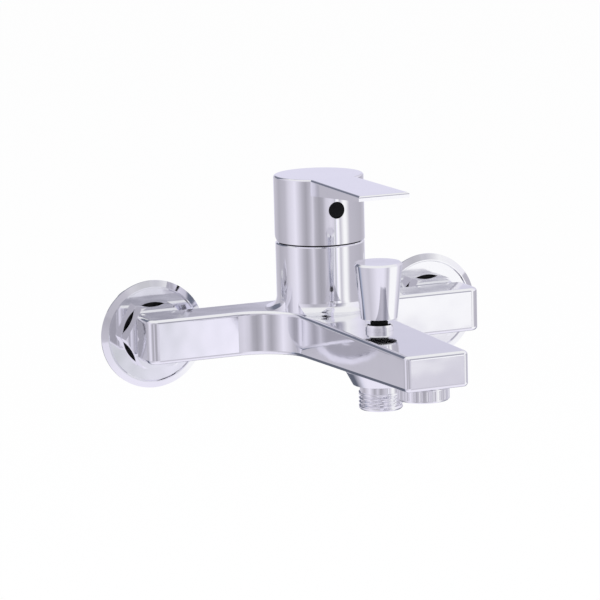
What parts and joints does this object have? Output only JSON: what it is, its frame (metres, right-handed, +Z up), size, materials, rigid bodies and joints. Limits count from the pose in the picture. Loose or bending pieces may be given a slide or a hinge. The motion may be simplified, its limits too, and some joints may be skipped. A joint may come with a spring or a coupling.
{
  "type": "wall mounted bath faucet",
  "caption": "single lever bath mixer on two wall unions, with a flat spout, pull-up shower diverter, threaded shower outlet and aerator, in polished chrome",
  "frame": {"origin": "midway between the two inlet axes, on the finished wall face", "axes": "+X to the right along the wall, +Y into the wall, +Z up; the spout and lever point along -Y"},
  "size_m": [0.2042, 0.203, 0.1065],
  "materials": {
    "chrome": "polished chrome plate",
    "brass": "bare machined brass",
    "black_plastic": "glossy black plastic",
    "white_plastic": "moulded acetal",
    "grey_plastic": "moulded nylon",
    "ceramic": "lapped alumina",
    "rubber": "black rubber",
    "steel": "stainless steel"
  },
  "bodies": {
    "faucet": {"mixer_body": "chrome", "port_seal_hot": "rubber", "port_seal_cold": "rubber", "port_seal_mixed": "rubber", "cartridge_base": "grey_plastic", "fixed_ceramic_disc": "ceramic", "cartridge_housing": "grey_plastic", "cartridge_ring_nut": "brass", "dome_cap": "chrome", "diverter_bonnet": "chrome", "diverter_seal_ring": "rubber", "shower_nipple": "chrome", "nipple_washer": "rubber", "aerator_housing": "chrome", "aerator_insert": "white_plastic", "aerator_washer": "rubber", "inlet_sleeve_left": "brass", "inlet_gasket_left": "rubber", "union_nut_left": "chrome", "eccentric_union_left": "chrome", "wall_flange_left": "chrome", "inlet_sleeve_right": "brass", "inlet_gasket_right": "rubber", "union_nut_right": "chrome", "eccentric_union_right": "chrome", "wall_flange_right": "chrome"},
    "rotor": {"cartridge_rotor": "white_plastic", "pivot_pin": "steel"},
    "lever": {"lever_stem": "brass", "lever_handle": "chrome", "indicator_plug": "black_plastic", "handle_set_screw": "steel"},
    "mixing_disc": {"moving_ceramic_disc": "ceramic", "disc_carrier": "white_plastic"},
    "diverter": {"diverter_knob": "chrome", "diverter_rod": "brass", "lower_valve_seal": "rubber", "upper_valve_seal": "rubber", "diverter_spring": "steel"}
  },
  "joints": [
    {"name": "temperature_swivel", "type": "hinge", "parent": "faucet", "child": "rotor", "pos_m": [0, -0.0392, 0.041], "axis": [0, 0, 1], "range_deg": [-45, 45]},
    {"name": "flow_lift", "type": "hinge", "parent": "rotor", "child": "lever", "pos_m": [0, -0.0392, 0.041], "axis": [-1, 0, 0], "range_deg": [0, 20]},
    {"name": "disc_slide", "type": "slide", "parent": "rotor", "child": "mixing_disc", "axis": [0, -1, 0], "range_m": [0, 0.0052]},
    {"name": "diverter_lift", "type": "slide", "parent": "faucet", "child": "diverter", "axis": [0, 0, 1], "range_m": [0, 0.0068], "stiffness_N_per_m": 120, "springref_m": -0.004, "deforming": ["diverter_spring"]}
  ],
  "couplings": [
    {"joint": "disc_slide", "follows": "flow_lift", "m_per_rad": 0.0145}
  ]
}
